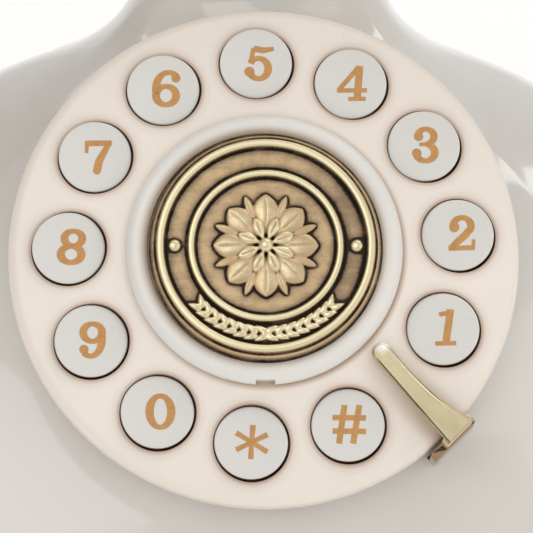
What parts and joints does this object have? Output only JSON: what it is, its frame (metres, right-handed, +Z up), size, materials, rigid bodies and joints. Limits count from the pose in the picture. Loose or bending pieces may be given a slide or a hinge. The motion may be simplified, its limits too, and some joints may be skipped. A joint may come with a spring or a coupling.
{
  "type": "push-button cradle telephone",
  "caption": "Old-style desk telephone with a bell-shaped body, round push-button dial with a cast medallion, metal cradle forks and a lift-off handset.",
  "frame": {"origin": "middle of the overall box at the table top, under the feet", "axes": "+Z up, +X along the handset towards the earpiece, -Y towards the dial side"},
  "size_m": [0.2158, 0.176, 0.1932],
  "materials": {
    "ivory_housing": "glossy moulded ivory",
    "cream_plate": "satin cream",
    "white_ring": "satin white",
    "white_key": "satin white with printed tan figures",
    "silicone": "matte grey",
    "antique_brass": "brushed, dark in the hollows",
    "pale_gold": "bright pale gold plating",
    "foot_rubber": "matte black",
    "steel": "bright zinc",
    "ballast_iron": "rough grey",
    "circuit_board": "green solder mask",
    "black_plastic": "fine matte black"
  },
  "bodies": {
    "phone": {"dial_plate": "cream_plate", "key_membrane": "silicone", "keypad_board": "circuit_board", "keypad_screw_1": "steel", "keypad_screw_2": "steel", "keypad_screw_3": "steel", "bezel_ring": "white_ring", "medallion": "antique_brass", "finger_stop": "pale_gold", "body_shell": "ivory_housing", "base_plate": "ivory_housing", "foot_front_left": "foot_rubber", "foot_front_right": "foot_rubber", "foot_rear_left": "foot_rubber", "foot_rear_right": "foot_rubber", "base_screw_1": "steel", "base_screw_2": "steel", "base_screw_3": "steel", "base_screw_4": "steel", "ballast_plate": "ballast_iron", "ringer_speaker": "black_plastic", "main_board": "circuit_board", "line_jack": "black_plastic", "cord_jack": "black_plastic", "ringer_switch": "black_plastic", "saddle": "pale_gold", "saddle_cover": "pale_gold", "fork_left": "pale_gold", "fork_right": "pale_gold", "hook_spring": "steel", "neck_bridge": "black_plastic", "hook_microswitch": "black_plastic"},
    "handset": {"handset_grip": "ivory_housing", "earpiece_trim": "pale_gold", "mouthpiece_trim": "pale_gold", "earpiece_cap": "ivory_housing", "mouthpiece_cap": "ivory_housing", "receiver_capsule": "black_plastic", "microphone_capsule": "black_plastic", "handset_jack": "black_plastic"},
    "hook": {"hook_bar": "steel"},
    "ringer_volume": {"ringer_knob": "black_plastic"},
    "key_1_body": {"key_1": "white_key"},
    "key_2_body": {"key_2": "white_key"},
    "key_3_body": {"key_3": "white_key"},
    "key_4_body": {"key_4": "white_key"},
    "key_5_body": {"key_5": "white_key"},
    "key_6_body": {"key_6": "white_key"},
    "key_7_body": {"key_7": "white_key"},
    "key_8_body": {"key_8": "white_key"},
    "key_9_body": {"key_9": "white_key"},
    "key_0_body": {"key_0": "white_key"},
    "key_star_body": {"key_star": "white_key"},
    "key_hash_body": {"key_hash": "white_key"}
  },
  "joints": [
    {"name": "handset_lift", "type": "slide", "parent": "phone", "child": "handset", "axis": [0, 0, 1], "range_m": [0, 0.06]},
    {"name": "hook_rise", "type": "slide", "parent": "phone", "child": "hook", "axis": [0, 0, 1], "range_m": [0, 0.0036]},
    {"name": "ringer_slide", "type": "slide", "parent": "phone", "child": "ringer_volume", "axis": [1, 0, 0], "range_m": [-0.0035, 0.0035]},
    {"name": "key_1_press", "type": "slide", "parent": "phone", "child": "key_1_body", "axis": [0, 0.766, -0.6428], "range_m": [0, 0.0016], "stiffness_N_per_m": 400, "springref_m": -0.001},
    {"name": "key_2_press", "type": "slide", "parent": "phone", "child": "key_2_body", "axis": [0, 0.766, -0.6428], "range_m": [0, 0.0016], "stiffness_N_per_m": 400, "springref_m": -0.001},
    {"name": "key_3_press", "type": "slide", "parent": "phone", "child": "key_3_body", "axis": [0, 0.766, -0.6428], "range_m": [0, 0.0016], "stiffness_N_per_m": 400, "springref_m": -0.001},
    {"name": "key_4_press", "type": "slide", "parent": "phone", "child": "key_4_body", "axis": [0, 0.766, -0.6428], "range_m": [0, 0.0016], "stiffness_N_per_m": 400, "springref_m": -0.001},
    {"name": "key_5_press", "type": "slide", "parent": "phone", "child": "key_5_body", "axis": [0, 0.766, -0.6428], "range_m": [0, 0.0016], "stiffness_N_per_m": 400, "springref_m": -0.001},
    {"name": "key_6_press", "type": "slide", "parent": "phone", "child": "key_6_body", "axis": [0, 0.766, -0.6428], "range_m": [0, 0.0016], "stiffness_N_per_m": 400, "springref_m": -0.001},
    {"name": "key_7_press", "type": "slide", "parent": "phone", "child": "key_7_body", "axis": [0, 0.766, -0.6428], "range_m": [0, 0.0016], "stiffness_N_per_m": 400, "springref_m": -0.001},
    {"name": "key_8_press", "type": "slide", "parent": "phone", "child": "key_8_body", "axis": [0, 0.766, -0.6428], "range_m": [0, 0.0016], "stiffness_N_per_m": 400, "springref_m": -0.001},
    {"name": "key_9_press", "type": "slide", "parent": "phone", "child": "key_9_body", "axis": [0, 0.766, -0.6428], "range_m": [0, 0.0016], "stiffness_N_per_m": 400, "springref_m": -0.001},
    {"name": "key_0_press", "type": "slide", "parent": "phone", "child": "key_0_body", "axis": [0, 0.766, -0.6428], "range_m": [0, 0.0016], "stiffness_N_per_m": 400, "springref_m": -0.001},
    {"name": "key_star_press", "type": "slide", "parent": "phone", "child": "key_star_body", "axis": [0, 0.766, -0.6428], "range_m": [0, 0.0016], "stiffness_N_per_m": 400, "springref_m": -0.001},
    {"name": "key_hash_press", "type": "slide", "parent": "phone", "child": "key_hash_body", "axis": [0, 0.766, -0.6428], "range_m": [0, 0.0016], "stiffness_N_per_m": 400, "springref_m": -0.001}
  ],
  "couplings": [
    {"joint": "hook_rise", "follows": "handset_lift", "ratio": 0.06}
  ]
}
